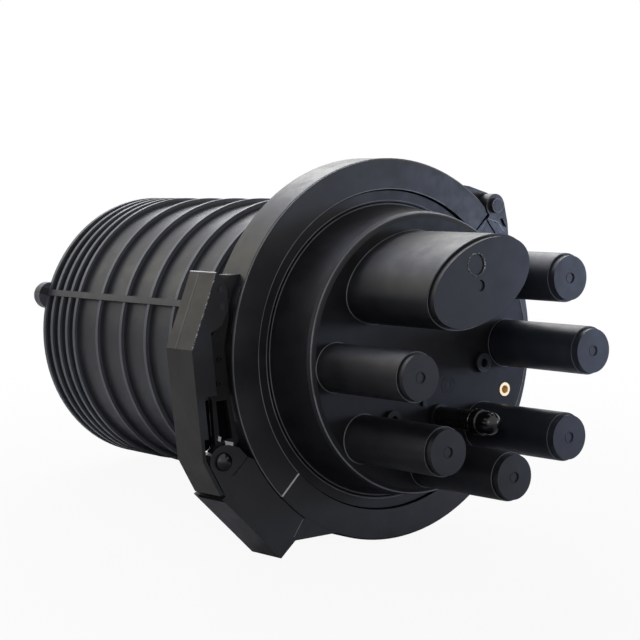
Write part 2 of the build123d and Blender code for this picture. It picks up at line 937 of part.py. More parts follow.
def make_frame_bolts():
    bolts = []
    for side in (-1, 1):
        place = (side * post_offset, post_level)
        rear = frame_start - frame_sheet
        head = hexagon(place, bolt_head_radius, rear - bolt_head_height, rear)
        shank = rod(place, bolt_radius, rear, frame_start + 12)
        bolts.append(head + shank)
    return bolts


def tray_level(number):
    return tray_first_level + tray_pitch * number


def make_tray(number):
    """Shallow tray with two fibre spools and two lugs that clip into the holder."""
    low = tray_level(number)
    high = low + tray_height
    end = tray_start - tray_length
    wide = tray_half_width
    rim = tray_rim
    body = slab(end, tray_start, wide, tray_corner, low, high)
    body -= slab(
        end + rim, tray_start - rim, wide - rim, tray_corner - rim * 0.6, low + tray_floor, high + 1
    )
    for side in (-1, 1):
        centre = Pos(tray_start - tray_length / 2 + side * 72, 0, low + tray_floor / 2)
        spool = RegularPolygon(tray_spool_radius, 16)
        spool -= RegularPolygon(tray_spool_radius - rim, 16)
        body += centre * extrude(spool, amount=tray_height - tray_floor)
        y_low = side * tray_lug_offset - tray_lug_width / 2
        body += block(
            tray_start - rim, tray_start + tray_lug_length,
            y_low, y_low + tray_lug_width, low, low + tray_lug_height,
        )
    return body


def make_tray_holder():
    """Upright block on the frame with a slot for each lug of the trays."""
    floor = frame_level + frame_sheet
    top = tray_level(tray_count - 1) + tray_lug_height + 2
    half = tray_lug_offset + tray_lug_width / 2 + 6
    slot_end = tray_start + tray_lug_length + turning_clearance
    body = block(tray_start + 6, slot_end + 9, -half, half, floor, top)
    slack = turning_clearance
    for number in range(tray_count):
        low = tray_level(number)
        for side in (-1, 1):
            y_low = side * tray_lug_offset - tray_lug_width / 2
            body -= block(
                tray_start + 5, slot_end, y_low - slack, y_low + tray_lug_width + slack,
                low - slack, low + tray_lug_height + slack,
            )
    return body


def make_splice_holders():
    """Grooved block on the floor of each tray that grips the splices."""
    holders = []
    for number in range(tray_count):
        low = tray_level(number) + tray_floor
        middle = tray_start - tray_length / 2
        body = block(middle - 16, middle + 16, -24, 24, low, low + 5)
        for groove in range(6):
            y = -17.5 + groove * 7
            body -= block(middle - 17, middle + 17, y - 1.6, y + 1.6, low + 2, low + 6)
        holders.append(body)
    return holders


def make_tray_lid():
    low = tray_level(tray_count - 1) + tray_height
    end = tray_start - tray_length
    body = slab(end, tray_start, tray_half_width, tray_corner, low, low + tray_floor)
    return body - block(end - 1, end + 6, -9, 9, low - 1, low + tray_floor + 1)


def make_basket():
    """Box below the frame for spare loops of fibre."""
    end = frame_end + frame_tail
    wide = basket_half_width
    rim = tray_rim
    body = slab(end, basket_start, wide, tray_corner, basket_bottom, frame_level)
    return body - slab(
        end + rim, basket_start - rim, wide - rim, tray_corner - rim * 0.6,
        basket_bottom + rim, frame_level + 1,
    )


def anchor_places():
    first = -anchor_pitch * (anchor_count - 1) / 2
    return [(first + anchor_pitch * number, frame_foot_bottom + 9) for number in range(anchor_count)]


def make_anchors():
    """Clamp blocks with screw heads, for the strength members of the cables."""
    rear = frame_start - frame_sheet
    anchors = []
    for y, z in anchor_places():
        half = anchor_size / 2
        body = block(rear - 9, rear, y - half, y + half, z - half, z + half)
        body -= block(rear - 7, rear - 3, y - half - 1, y + half + 1, z - 1.8, z + 1.8)
        anchors.append(body + hexagon((y, z), 3.6, rear - 12, rear - 9))
    return anchors


def write(name, shape):
    """Write one node; several solids in one node are kept apart."""
    if isinstance(shape, list):
        solids = [solid for piece in shape for solid in piece.solids()]
    else:
        solids = list(shape.solids())
    for index, solid in enumerate(solids):
        solid.label = name if len(solids) == 1 else name + "_" + str(index + 1)
    whole = solids[0] if len(solids) == 1 else Compound(label=name, children=solids)
    export_step(whole, os.path.join("parts", name + ".step"))


os.makedirs("parts", exist_ok=True)
write("base_shell", make_base())
write("dome_shell", make_dome())
write("sealing_ring", make_seal())
write("clamp_upper", make_clamp_upper())
write("clamp_lower", make_clamp_lower())
write("clamp_hinge_pin", make_hinge_pin())
write("latch_link", make_link())
write("latch_lever", make_lever())
write("latch_pivot_pin", make_pivot_pin())
write("latch_lever_pin", make_lever_pin())
write("latch_hook_pin", make_hook_pin())
write("latch_spring", make_spring())
write("valve_stem", make_valve_stem())
write("valve_cap", make_valve_cap())
write("threaded_insert", make_insert())
write("tray_frame", make_frame())
write("frame_bolts", make_frame_bolts())
write("tray_holder", make_tray_holder())
for tray_number in range(tray_count):
    write("splice_tray_" + str(tray_number + 1), make_tray(tray_number))
write("splice_holders", make_splice_holders())
write("tray_lid", make_tray_lid())
write("fibre_basket", make_basket())
write("cable_anchors", make_anchors())
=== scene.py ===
import bpy
import json
import math
from mathutils import Matrix, Vector


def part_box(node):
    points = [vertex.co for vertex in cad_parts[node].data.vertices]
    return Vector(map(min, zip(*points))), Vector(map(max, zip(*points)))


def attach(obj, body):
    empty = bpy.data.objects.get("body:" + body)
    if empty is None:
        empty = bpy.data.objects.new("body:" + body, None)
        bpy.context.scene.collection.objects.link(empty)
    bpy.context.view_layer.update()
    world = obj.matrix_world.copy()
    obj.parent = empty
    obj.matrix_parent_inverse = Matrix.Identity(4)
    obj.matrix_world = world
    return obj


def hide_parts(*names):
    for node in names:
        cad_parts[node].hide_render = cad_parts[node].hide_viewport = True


# Splice closure in a plain white studio, in metres, in the frame of its CAD parts.
# X runs along the closure, the ports point to +X, and Z points up.

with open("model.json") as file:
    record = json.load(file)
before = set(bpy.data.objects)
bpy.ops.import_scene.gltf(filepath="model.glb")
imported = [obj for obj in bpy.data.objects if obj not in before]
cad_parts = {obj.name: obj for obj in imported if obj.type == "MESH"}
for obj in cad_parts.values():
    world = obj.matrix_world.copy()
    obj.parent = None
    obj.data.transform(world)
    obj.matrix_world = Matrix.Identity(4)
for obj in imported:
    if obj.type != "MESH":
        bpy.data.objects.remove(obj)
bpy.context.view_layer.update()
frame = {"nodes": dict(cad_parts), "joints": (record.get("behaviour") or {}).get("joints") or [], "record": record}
nodes = frame["nodes"]


def joint_place(name):
    """The (y, z) of a joint's axis, which runs along X."""
    found = next(joint for joint in frame["joints"] if joint["name"] == name)
    return tuple(found["pos_m"][1:])


def mount_named(name):
    return next(mount for mount in frame["record"]["mounts"] if mount["name"] == name)


def mount_place(name):
    """The (y, z) of a mount."""
    return tuple(mount_named(name)["pos_m"][1:])


def low_of(name):
    """The lowest corner of a CAD node."""
    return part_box(name)[0]


def high_of(name):
    """The highest corner of a CAD node."""
    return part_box(name)[1]


# Sizes and places of the part, from the frame
RING_FRONT = high_of("clamp_upper").x
RING_REAR = low_of("clamp_upper").x
RING_RADIUS = -low_of("clamp_lower").z
EAR_FRONT = high_of("clamp_lower").x
hinge_middle = (low_of("clamp_hinge_pin") + high_of("clamp_hinge_pin")) / 2
HINGE = (hinge_middle.y, hinge_middle.z)
HINGE_FRONT = high_of("clamp_hinge_pin").x
PIVOT = joint_place("link_turn")
VALVE = joint_place("valve_cap_turn")
INSERT = mount_place("earth_insert")
LINK_FRONT = high_of("latch_link").x
LEVER_FRONT = high_of("latch_lever").x
LEVER_REAR = low_of("latch_lever").x
CAP_REAR = low_of("valve_cap").x
PORT_TIP = high_of("base_shell").x
PORTS = [mount_place("cable_port_%d" % number) for number in range(1, 7)]
PORT_RADIUS = mount_named("cable_port_1")["dims"]["r_mm"] / 1000
PORT_STEP = mount_named("cable_port_1")["dims"]["length_mm"] / 1000
OVAL = mount_place("oval_port")
OVAL_CIRCLE = math.hypot(*OVAL)
OVAL_ANGLE = math.atan2(OVAL[1], OVAL[0])

# Sizes and places that the frame's boxes and mounts don't give
AXIS = (0.0, 0.0)
BASE_FACE = 0.0
RING_MOUTH = 0.126
SHOULDER_RADIUS = 0.1078
SHOULDER_X = -0.0015
FLANGE_FRONT = -0.0446
FLANGE_LINES = (0.1143, 0.1172)
FLANGE_GROOVE = 0.1157
OVAL_HALF = (0.0510, 0.0305)
SPLIT_DEGREES = -137.5
LATCH_PLATE = 0.0046
FACE_MARK = (0.0233, -0.0272)
RING_BOTTOM = (RING_REAR + 0.0012, -RING_RADIUS)
DOME_BOTTOM = (-0.381, -0.1188)

# Ends of the lever's upper skin, as steps from the pivot, and slopes of the skin and the latch block
LEVER_TOP = (0.0008, 0.1406)
LEVER_KNEE = (-0.0237, 0.0856)
LEVER_OUTWARD = (-0.9135, 0.4069)
BLOCK_ALONG = (0.697, -0.717)
BLOCK_OUTWARD = (-0.717, -0.697)

# Limits between which the dome's ribs and its seam begin, for the ribs' paler colour, which is painted sheen
RIB_FOOT = (0.1138, 0.1143)
SEAM_EDGE = (0.0028, 0.0032)
SEAM_NORMAL = (0, -0.342, -0.940)

# Sizes of the added trim
SINK = 0.0002
EDGE_WIDTH = 0.0008
ROOT_LINE = (0.0008, 0.0005)
END_LINE = (0.0006, 0.0002)
FLOOR_GAP = 0.0002

# Camera, fitted to the photograph
CAMERA_PLACE = (1.234759, -1.036186, 0.193048)
CAMERA_RIGHT = (0.60750469, 0.79323374, -0.04145214)
CAMERA_UP = (-0.0554044, 0.09437521, 0.9939938)
CAMERA_AHEAD = (-0.79238147, 0.60155927, -0.10128203)
CAMERA_LENS = 118.606


def make_camera():
    data = bpy.data.cameras.new("camera")
    data.lens = CAMERA_LENS
    data.sensor_width = 36.0
    data.clip_end = 50.0
    camera = bpy.data.objects.new("camera", data)
    bpy.context.scene.collection.objects.link(camera)
    columns = (Vector(CAMERA_RIGHT), Vector(CAMERA_UP), -Vector(CAMERA_AHEAD))
    turn = Matrix(columns).transposed().to_4x4()
    camera.matrix_world = Matrix.Translation(CAMERA_PLACE) @ turn
    bpy.context.scene.camera = camera


# Materials
ALONG_X = (1, 0, 0)
ALONG_Y = (0, 1, 0)
BLOTCH_SCALE = 28.0
WEAR_SCALE = 60.0
SPECK_SCALE = 140.0
CHIP_SCALE = 700.0
GRAIN_SCALE = 900.0


class Tree:
    """Short calls for the nodes of a material."""

    def __init__(self, material):
        self.nodes = material.node_tree.nodes
        self.links = material.node_tree.links
        self.shader = self.nodes["Principled BSDF"]
        self.place = self.nodes.new("ShaderNodeTexCoord").outputs["Object"]

    def join(self, output, target):
        self.links.new(output, target)

    def noise(self, scale, detail=3.0, roughness=0.5):
        made = self.nodes.new("ShaderNodeTexNoise")
        made.inputs["Scale"].default_value = scale
        made.inputs["Detail"].default_value = detail
        made.inputs["Roughness"].default_value = roughness
        self.join(self.place, made.inputs["Vector"])
        return made.outputs["Fac"]

    def spread(self, value, low, high, to_low=0.0, to_high=1.0):
        """Stretch a value between two limits, with soft ends."""
        made = self.nodes.new("ShaderNodeMapRange")
        made.interpolation_type = "SMOOTHSTEP"
        made.inputs["From Min"].default_value = low
        made.inputs["From Max"].default_value = high
        made.inputs["To Min"].default_value = to_low
        made.inputs["To Max"].default_value = to_high
        self.join(value, made.inputs["Value"])
        return made.outputs["Result"]

    def blend(self, share, first, second):
        """Mix two colours, given as values or outputs."""
        made = self.nodes.new("ShaderNodeMix")
        made.data_type = "RGBA"
        self.join(share, made.inputs[0])
        for socket, colour in ((made.inputs[6], first), (made.inputs[7], second)):
            if isinstance(colour, tuple):
                socket.default_value = (*colour, 1)
            else:
                self.join(colour, socket)
        return made.outputs[2]

    def along(self, direction):
        """Distance along a direction, in metres on the part."""
        made = self.nodes.new("ShaderNodeVectorMath")
        made.operation = "DOT_PRODUCT"
        made.inputs[1].default_value = direction
        self.join(self.place, made.inputs[0])
        return made.outputs["Value"]

    def from_axis(self):
        """Distance from the closure's axis."""
        flat = self.nodes.new("ShaderNodeVectorMath")
        flat.operation = "MULTIPLY"
        flat.inputs[1].default_value = (0, 1, 1)
        self.join(self.place, flat.inputs[0])
        made = self.nodes.new("ShaderNodeVectorMath")
        made.operation = "LENGTH"
        self.join(flat.outputs["Vector"], made.inputs[0])
        return made.outputs["Value"]

    def sum(self, operation, *values):
        """One of the shader's sums with up to three values."""
        made = self.nodes.new("ShaderNodeMath")
        made.operation = operation
        for socket, value in zip(made.inputs, values):
            self.join(value, socket)
        return made.outputs["Value"]

    def bump(self, height, strength, distance=0.0004):
        made = self.nodes.new("ShaderNodeBump")
        made.inputs["Strength"].default_value = strength
        made.inputs["Distance"].default_value = distance
        self.join(height, made.inputs["Height"])
        self.join(made.outputs["Normal"], self.shader.inputs["Normal"])


def new_material(name):
    material = bpy.data.materials.new(name)
    material.use_nodes = True
    return material


def tinted(colour, factor):
    return tuple(min(channel * factor, 1.0) for channel in colour)


def plastic(name, colour, rough=0.45, vary=0.25, grain=0.05, dust=0.12, specular=0.5, other=None, mask=None):
    """Moulded plastic: soft blotches, a fine grain, worn patches and a little dust.

    Where the mask is 1 the plastic has the other colour.
    """
    material = new_material(name)
    tree = Tree(material)
    blotch = tree.spread(tree.noise(BLOTCH_SCALE, 5.0), 0.3, 0.72)
    shades = [tinted(colour, 1 - vary), tinted(colour, 1 + vary)]
    if other is not None:
        share = mask(tree)
        others = [tinted(other, 1 - vary), tinted(other, 1 + vary)]
        shades = [tree.blend(share, own, new) for own, new in zip(shades, others)]
    base = tree.blend(blotch, shades[0], shades[1])
    specks = tree.spread(tree.noise(SPECK_SCALE, 6.0, 0.7), 0.56, 0.78, 0.0, dust)
    pale = tuple(0.5 * channel + 0.10 for channel in colour)
    tree.join(tree.blend(specks, base, pale), tree.shader.inputs["Base Color"])
    smooth = max(rough - 0.06, 0.03)
    worn = min(rough + 0.07, 1.0)
    wear = tree.spread(tree.noise(WEAR_SCALE, 6.0, 0.65), 0.3, 0.7, smooth, worn)
    tree.join(wear, tree.shader.inputs["Roughness"])
    tree.bump(tree.noise(GRAIN_SCALE, 2.0), grain)
    tree.shader.inputs["Specular IOR Level"].default_value = specular
    return material


def metal(name, colour, rough=0.3, grain=0.08):
    """Bare or plated metal with a fine brushed grain."""
    material = plastic(name, colour, rough, vary=0.08, grain=grain, dust=0.0)
    material.node_tree.nodes["Principled BSDF"].inputs["Metallic"].default_value = 1.0
    return material


def chips_and_glints(name):
    """Black plastic with small pale specks: chips on the oval port's mark, painted highlight glints along the
    lever's front edge.
    """
    material = new_material(name)
    tree = Tree(material)
    specks = tree.spread(tree.noise(CHIP_SCALE, 4.0, 0.7), 0.50, 0.62)
    colour = tree.blend(specks, (0.03, 0.03, 0.03), (0.75, 0.76, 0.8))
    tree.join(colour, tree.shader.inputs["Base Color"])
    tree.shader.inputs["Roughness"].default_value = 0.3
    return material


def on_rib_sheen(tree):
    """The ribs of the dome, without its seam, where the paler colour paints the light on their flanks."""
    off_wall = tree.spread(tree.from_axis(), *RIB_FOOT)
    off_seam = tree.spread(tree.sum("ABSOLUTE", tree.along(SEAM_NORMAL)), *SEAM_EDGE)
    return tree.sum("MULTIPLY", off_wall, off_seam)


def on_lit_far_ports(tree):
    """Grows over the ports that are farther to the right, in front of the face, where the paler bluer colour is
    painted light.
    """
    far = tree.spread(tree.along(ALONG_Y), -0.03, 0.11)
    return tree.sum("MULTIPLY", far, tree.spread(tree.along(ALONG_X), 0.001, 0.003))


def on_shaded_lever_front(tree):
    """The front plate of the latch lever, painted darker as its shaded side."""
    return tree.spread(tree.along(ALONG_X), LEVER_FRONT - 0.0010, LEVER_FRONT - 0.0004)


def base_finish():
    """Black of the base, painted paler and bluer on its far ports as the light that falls on them, and duller on
    the face between them.
    """
    lit_far_ports = (0.054, 0.060, 0.080)
    material = plastic("base_black", (0.012, 0.0125, 0.015), 0.40, other=lit_far_ports, mask=on_lit_far_ports)
    tree = Tree(material)
    off_face = tree.spread(tree.sum("ABSOLUTE", tree.along(ALONG_X)), 0.0006, 0.0012, 0.25, 0.36)
    tree.join(off_face, tree.shader.inputs["Specular IOR Level"])
    return material


def dome_finish():
    """Worn black of the dome, with greyer bluer ribs painted as sheen from the light on their flanks."""
    ribs = (0.115, 0.123, 0.140)
    return plastic("dome_black", (0.040, 0.0412, 0.0462), 0.42, vary=0.12, other=ribs, mask=on_rib_sheen)


def lever_finish():
    """Brownish black of the lever's outer skin, painted lighter and warmer as its lit side, with a front painted
    darker as shade.
    """
    front = (0.017, 0.0175, 0.020)
    brown = (0.036, 0.033, 0.028)
    return plastic("lever_black", brown, 0.42, specular=0.34, other=front, mask=on_shaded_lever_front)


def cover_finish():
    """Clear plastic of the lid on the trays."""
    material = plastic("tray_cover", (0.75, 0.78, 0.8), 0.15, vary=0.03, grain=0.0, dust=0.0)
    material.node_tree.nodes["Principled BSDF"].inputs["Alpha"].default_value = 0.35
    return material


def dress_nodes():
    """Give every CAD node its material."""
    trays = [name for name in nodes if name.startswith("splice_tray")]
    finishes = [
        (["base_shell"], base_finish()),
        (["dome_shell"], dome_finish()),
        (["clamp_upper", "clamp_lower"], plastic("clamp_black", (0.016, 0.0165, 0.019), 0.38, specular=0.42)),
        (["latch_lever"], lever_finish()),
        (["latch_link"], plastic("link_black", (0.010, 0.010, 0.011), 0.42, specular=0.2)),
        (["latch_pivot_pin"], plastic("pin_black", (0.014, 0.014, 0.016), 0.2, dust=0.03)),
        (["clamp_hinge_pin", "latch_lever_pin", "latch_hook_pin"],
         plastic("pin_plated", (0.02, 0.02, 0.022), 0.4)),
        (["latch_spring"], metal("spring_steel", (0.72, 0.72, 0.7), 0.25)),
        (["sealing_ring"], plastic("seal_rubber", (0.02, 0.02, 0.02), 0.6)),
        (["valve_stem"], plastic("valve_black", (0.012, 0.012, 0.014), 0.28)),
        (["valve_cap"], plastic("cap_gloss", (0.009, 0.009, 0.011), 0.13, grain=0.0, dust=0.03)),
        (["threaded_insert"], metal("insert_brass", (1.0, 0.74, 0.44), 0.38)),
        (["tray_frame"], metal("frame_sheet", (0.7, 0.71, 0.72), 0.38)),
        (["frame_bolts", "cable_anchors"], metal("zinc", (0.6, 0.6, 0.6), 0.35)),
        (["tray_holder", "splice_holders"], plastic("holder_black", (0.03, 0.03, 0.03), 0.5)),
        (trays + ["fibre_basket"], plastic("tray_grey", (0.5, 0.51, 0.52), 0.45, vary=0.05)),
        (["tray_lid"], cover_finish()),
    ]
    for names, material in finishes:
        for name in names:
            slots = nodes[name].data.materials
            slots.clear()
            slots.append(material)


def finish_of(name):
    """The material of a CAD node."""
    return nodes[name].data.materials[0]


def round_edges(name, highlight_finish=None):
    """Small rounding along the sharp edges of a node, with a paler material on the rounding as painted highlight
    if one is given.
    """
    bevel = nodes[name].modifiers.new("edge", "BEVEL")
    bevel.width = EDGE_WIDTH
    bevel.segments = 2
    bevel.limit_method = "ANGLE"
    bevel.angle_limit = math.radians(38)
    bevel.use_clamp_overlap = True
    if highlight_finish is not None:
        nodes[name].data.materials.append(highlight_finish)
        bevel.material = 1


# Shapes, each as points and faces
def polar(radius, degrees, centre=AXIS):
    """The (y, z) at a distance and an angle from a centre."""
    angle = math.radians(degrees)
    return (centre[0] + radius * math.cos(angle), centre[1] + radius * math.sin(angle))


def from_pivot(steps):
    """Places given by their steps from the lower pivot of the latch."""
    return [(PIVOT[0] + step[0], PIVOT[1] + step[1]) for step in steps]


def ring_faces(first, steps, count):
    """Faces of a closed ring that has a loop of points at each of its steps."""
    faces = []
    for step in range(steps):
        here = first + step * count
        there = first + (step + 1) % steps * count
        for index in range(count):
            after = (index + 1) % count
            faces.append((here + index, here + after, there + after, there + index))
    return faces


def turned(sections, steps=96):
    """Closed (x, radius) outlines, each turned about a line through (y, z)."""
    points = []
    faces = []
    for (y, z), outline in sections:
        faces += ring_faces(len(points), steps, len(outline))
        for step in range(steps):
            turn = 2 * math.pi * step / steps
            for x, radius in outline:
                points.append((x, y + radius * math.cos(turn), z + radius * math.sin(turn)))
    return points, faces


def raised_ring(radius, x, width, height):
    """Outline of a low ring with sloped sides on a face at x."""
    half = width / 2
    return [
        (x - SINK, radius - half),
        (x + height, radius - half * 0.4),
        (x + height, radius + half * 0.4),
        (x - SINK, radius + half),
    ]


def domed(x, length, radius):
    """Quarter of an ellipse, from a rim at x to the middle of a round top."""
    steps = 12
    outline = []
    for number in range(steps + 1):
        angle = math.pi / 2 * number / steps
        outline.append((x + length * math.sin(angle), radius * math.cos(angle)))
    return outline


def oval_ring(grow, x, width, height):
    """Low ring round the oval port, on a face at x, larger than the port by grow."""
    steps = 120
    turn = OVAL_ANGLE - math.pi / 2
    profile = [(-width / 2, -SINK), (-width / 5, height), (width / 5, height), (width / 2, -SINK)]
    points = []
    for step in range(steps):
        angle = 2 * math.pi * step / steps
        for shift, rise in profile:
            wide = (OVAL_HALF[0] + grow + shift) * math.cos(angle)
            tall = (OVAL_HALF[1] + grow + shift) * math.sin(angle)
            y = OVAL[0] + wide * math.cos(turn) - tall * math.sin(turn)
            z = OVAL[1] + wide * math.sin(turn) + tall * math.cos(turn)
            points.append((x + rise, y, z))
    return points, ring_faces(0, steps, len(profile))


def bars(corners):
    """Square bars, each given by its eight corners."""
    points = []
    faces = []
    sides = ((0, 1, 2, 3), (4, 7, 6, 5), (0, 4, 5, 1), (1, 5, 6, 2), (2, 6, 7, 3), (3, 7, 4, 0))
    for bar in corners:
        first = len(points)
        points += bar
        faces += [tuple(first + index for index in side) for side in sides]
    return points, faces


def bar_between(start, end, half_width, x_low, x_high):
    """Eight corners of a bar from one (y, z) to another."""
    length = math.dist(start, end)
    side_y = (start[1] - end[1]) / length * half_width
    side_z = (end[0] - start[0]) / length * half_width
    corners = []
    for x in (x_low, x_high):
        for (y, z), side in ((start, -1), (end, -1), (end, 1), (start, 1)):
            corners.append((x, y + side * side_y, z + side * side_z))
    return corners


def radial_bar(centre, degrees, near, far, half_width, x_low, x_high):
    """Eight corners of a bar that points away from a centre."""
    start = polar(near, degrees, centre)
    end = polar(far, degrees, centre)
    return bar_between(start, end, half_width, x_low, x_high)


def arc_line(radius, width, x_low, x_high, start, stop):
    """Thin line along an arc about the closure's axis, from one angle in degrees to another."""
    count = max(4, round(abs(stop - start)))
    line = [start + (stop - start) * number / count for number in range(count + 1)]
    low_radius = radius - width / 2
    high_radius = radius + width / 2
    corners = []
    for low, high in zip(line, line[1:]):
        here = [polar(low_radius, low), polar(high_radius, low)]
        there = [polar(high_radius, high), polar(low_radius, high)]
        corners.append([(x, y, z) for x in (x_low, x_high) for y, z in here + there])
    return bars(corners)


def sheet(outline, x_low, x_high):
    """Flat plate across X, from its (y, z) outline."""
    count = len(outline)
    points = [(x, y, z) for x in (x_low, x_high) for y, z in outline]
    faces = [tuple(range(count)), tuple(range(2 * count - 1, count - 1, -1))]
    for index in range(count):
        after = (index + 1) % count
        faces.append((index, index + count, after + count, after))
    return points, faces


def add_piece(name, shape, material, body):
    """New mesh from points and faces, which moves with a body."""
    points, faces = shape
    mesh = bpy.data.meshes.new(name)
    mesh.from_pydata(points, [], faces)
    mesh.validate()
    mesh.materials.append(material)
    item = bpy.data.objects.new(name, mesh)
    bpy.context.scene.collection.objects.link(item)
    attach(item, body)
    return item


def shade_smooth(item):
    """Smooth shading, except across sharp edges."""
    item.data.polygons.foreach_set("use_smooth", [True] * len(item.data.polygons))
    item.data.set_sharp_from_angle(angle=math.radians(35))


# Trim of the clamp ring's slit and of the base
def add_slit_strip():
    """Pale strip in the slit between the halves of the clamp ring, painting the light that shows in the slit."""
    near = RING_MOUTH + 0.0004
    far = RING_RADIUS - 0.0008
    bar = radial_bar(AXIS, SPLIT_DEGREES, near, far, 0.0007, RING_REAR + 0.001, RING_FRONT + 0.0001)
    white = plastic("slit_highlight", (0.95, 0.95, 0.95), 0.3, vary=0.02, grain=0.02, dust=0.0)
    add_piece("slit_strip", bars([bar]), white, "closure")


def add_base_lines(pale, dark):
    """Fine pale lines on the base, painted highlights along its edges and rims, and a near-black groove between
    the two on its flange, painted shade.
    """
    outlines = [(AXIS, raised_ring(SHOULDER_RADIUS, SHOULDER_X, 0.0014, 0.0004))]
    for radius in FLANGE_LINES:
        outlines.append((AXIS, raised_ring(radius, FLANGE_FRONT, *ROOT_LINE)))
    for port in PORTS:
        outlines.append((port, raised_ring(PORT_RADIUS + 0.0004, BASE_FACE, *ROOT_LINE)))
        outlines.append((port, raised_ring(PORT_RADIUS - 0.0004, PORT_STEP, *END_LINE)))
    add_piece("base_lines", turned(outlines, 120), pale, "closure")
    add_piece("oval_root_line", oval_ring(0.0004, BASE_FACE, *ROOT_LINE), pale, "closure")
    add_piece("oval_end_line", oval_ring(-0.0005, PORT_STEP, *END_LINE), pale, "closure")
    groove = raised_ring(FLANGE_GROOVE, FLANGE_FRONT, 0.0012, 0.0003)
    add_piece("flange_groove", turned([(AXIS, groove)], 160), dark, "closure")


def add_port_rims():
    """Raised rims round the moulding marks on the ends of the round ports."""
    rim = raised_ring(0.0042, PORT_TIP, 0.0006, 0.00025)
    shape = turned([(port, rim) for port in PORTS], 40)
    add_piece("port_rims", shape, finish_of("base_shell"), "closure")


def add_face_mark():
    """Round moulding mark on the face of the base: two rings and short spokes."""
    outlines = [(FACE_MARK, raised_ring(radius, BASE_FACE, 0.0005, 0.0002)) for radius in (0.0028, 0.0066)]
    add_piece("mark_rings", turned(outlines, 48), finish_of("base_shell"), "closure")
    count = 12
    low = BASE_FACE - SINK
    high = BASE_FACE + 0.0002
    spokes = []
    for number in range(count):
        degrees = 360 * number / count
        spokes.append(radial_bar(FACE_MARK, degrees, 0.0038, 0.0056, 0.0003, low, high))
    add_piece("mark_spokes", bars(spokes), finish_of("base_shell"), "closure")


def add_oval_mark():
    """Rough rim round the larger moulding mark on the end of the oval port."""
    centre = polar(OVAL_CIRCLE + 0.0142, math.degrees(OVAL_ANGLE))
    rim = raised_ring(0.0082, PORT_TIP, 0.0014, 0.0004)
    add_piece("oval_mark_rim", turned([(centre, rim)], 64), chips_and_glints("mark_chips"), "closure")


def add_insert_sleeve():
    """Bright cone of thread inside the brass insert."""
    rear = -0.0060
    front = 0.0004
    wall = 0.0032
    outline = [(rear, 0.0018), (front, 0.0030), (front, wall), (rear, wall)]
    brass = metal("sleeve_brass", (1.0, 0.72, 0.42), 0.5)
    add_piece("insert_sleeve", turned([(INSERT, outline)], 40), brass, "closure")


def add_valve_cap():
    """Smooth cap of the valve, with a ridged grip and a round top."""
    bore = 0.0062
    grip = 0.0100
    top = 0.0087
    profile = [
        (0.0, bore), (0.0, 0.0097), (0.0003, grip), (0.0012, grip), (0.0015, 0.0097),
        (0.0044, 0.0096), (0.0047, grip), (0.0086, grip), (0.0090, 0.0096), (0.0092, top),
    ]
    outline = [(CAP_REAR + far, radius) for far, radius in profile]
    outline += domed(CAP_REAR + 0.0162, 0.0078, top)
    bore_end = CAP_REAR + 0.0152
    outline += [(bore_end, 0.0), (bore_end, bore)]
    gloss = plastic("cap_black", (0.006, 0.006, 0.008), 0.2, vary=0.1, grain=0.0, dust=0.02)
    cap = add_piece("valve_cap_smooth", turned([(VALVE, outline)], 96), gloss, "cap")
    shade_smooth(cap)
    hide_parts("valve_cap")


# Trim of the clamp ring, its hinge and its latch block
def add_ring_edges(pale, dark):
    """Lines along the rim of the clamp ring: pale at the left as painted highlight on its edges, dark where the
    latch block meets it as painted shade in the gap.
    """
    block_end = -126.5
    far_end = 360 + SPLIT_DEGREES - 0.5
    low = RING_FRONT - SINK
    high = RING_FRONT + 0.0001
    gap = arc_line(RING_RADIUS + 0.0001, 0.0007, low, high, SPLIT_DEGREES, block_end)
    add_piece("ring_gap", gap, dark, "closure")
    rim = arc_line(RING_RADIUS - 0.0006, 0.0007, RING_FRONT - 0.0004, high, 95, far_end)
    add_piece("ring_rim", rim, pale, "closure")
    mouth = arc_line(RING_MOUTH + 0.0003, 0.0006, low, high, 60, far_end)
    add_piece("ring_mouth_rim", mouth, pale, "closure")


def add_hinge_face(pale):
    """Pale rim and dark cap on the hinge pin, and the pale edges of a panel beside it; the pale rim and edges are
    painted highlights.
    """
    rim = raised_ring(0.0056, HINGE_FRONT, 0.0008, 0.0003)
    add_piece("hinge_rim", turned([(HINGE, rim)], 48), pale, "closure")
    rear = HINGE_FRONT - 0.0006
    front = HINGE_FRONT + 0.0002
    radius = 0.0044
    outline = [(rear, 0.0), (front, 0.0), (front, radius), (rear, radius)]
    grey = plastic("cap_grey", (0.02, 0.022, 0.028), 0.45, vary=0.1, grain=0.0, dust=0.0)
    add_piece("hinge_cap", turned([(HINGE, outline)], 48), grey, "closure")
    corners = [polar(0.1335, 41.2), polar(0.1442, 41.8), polar(0.1498, 38.2), polar(0.1505, 34.2)]
    levels = [RING_FRONT, EAR_FRONT, EAR_FRONT]
    edges = []
    for start, end, level in zip(corners, corners[1:], levels):
        edges.append(bar_between(start, end, 0.00035, level - 0.0004, level + 0.0001))
    add_piece("hinge_panel", bars(edges), pale, "closure")


def add_block_line(pale):
    """Pale line across the latch block, below the slit: a painted highlight on its edge."""
    bar = radial_bar(AXIS, -127.0, 0.1515, 0.1672, 0.0003, RING_FRONT - 0.0004, RING_FRONT + 0.00005)
    add_piece("block_line", bars([bar]), pale, "closure")


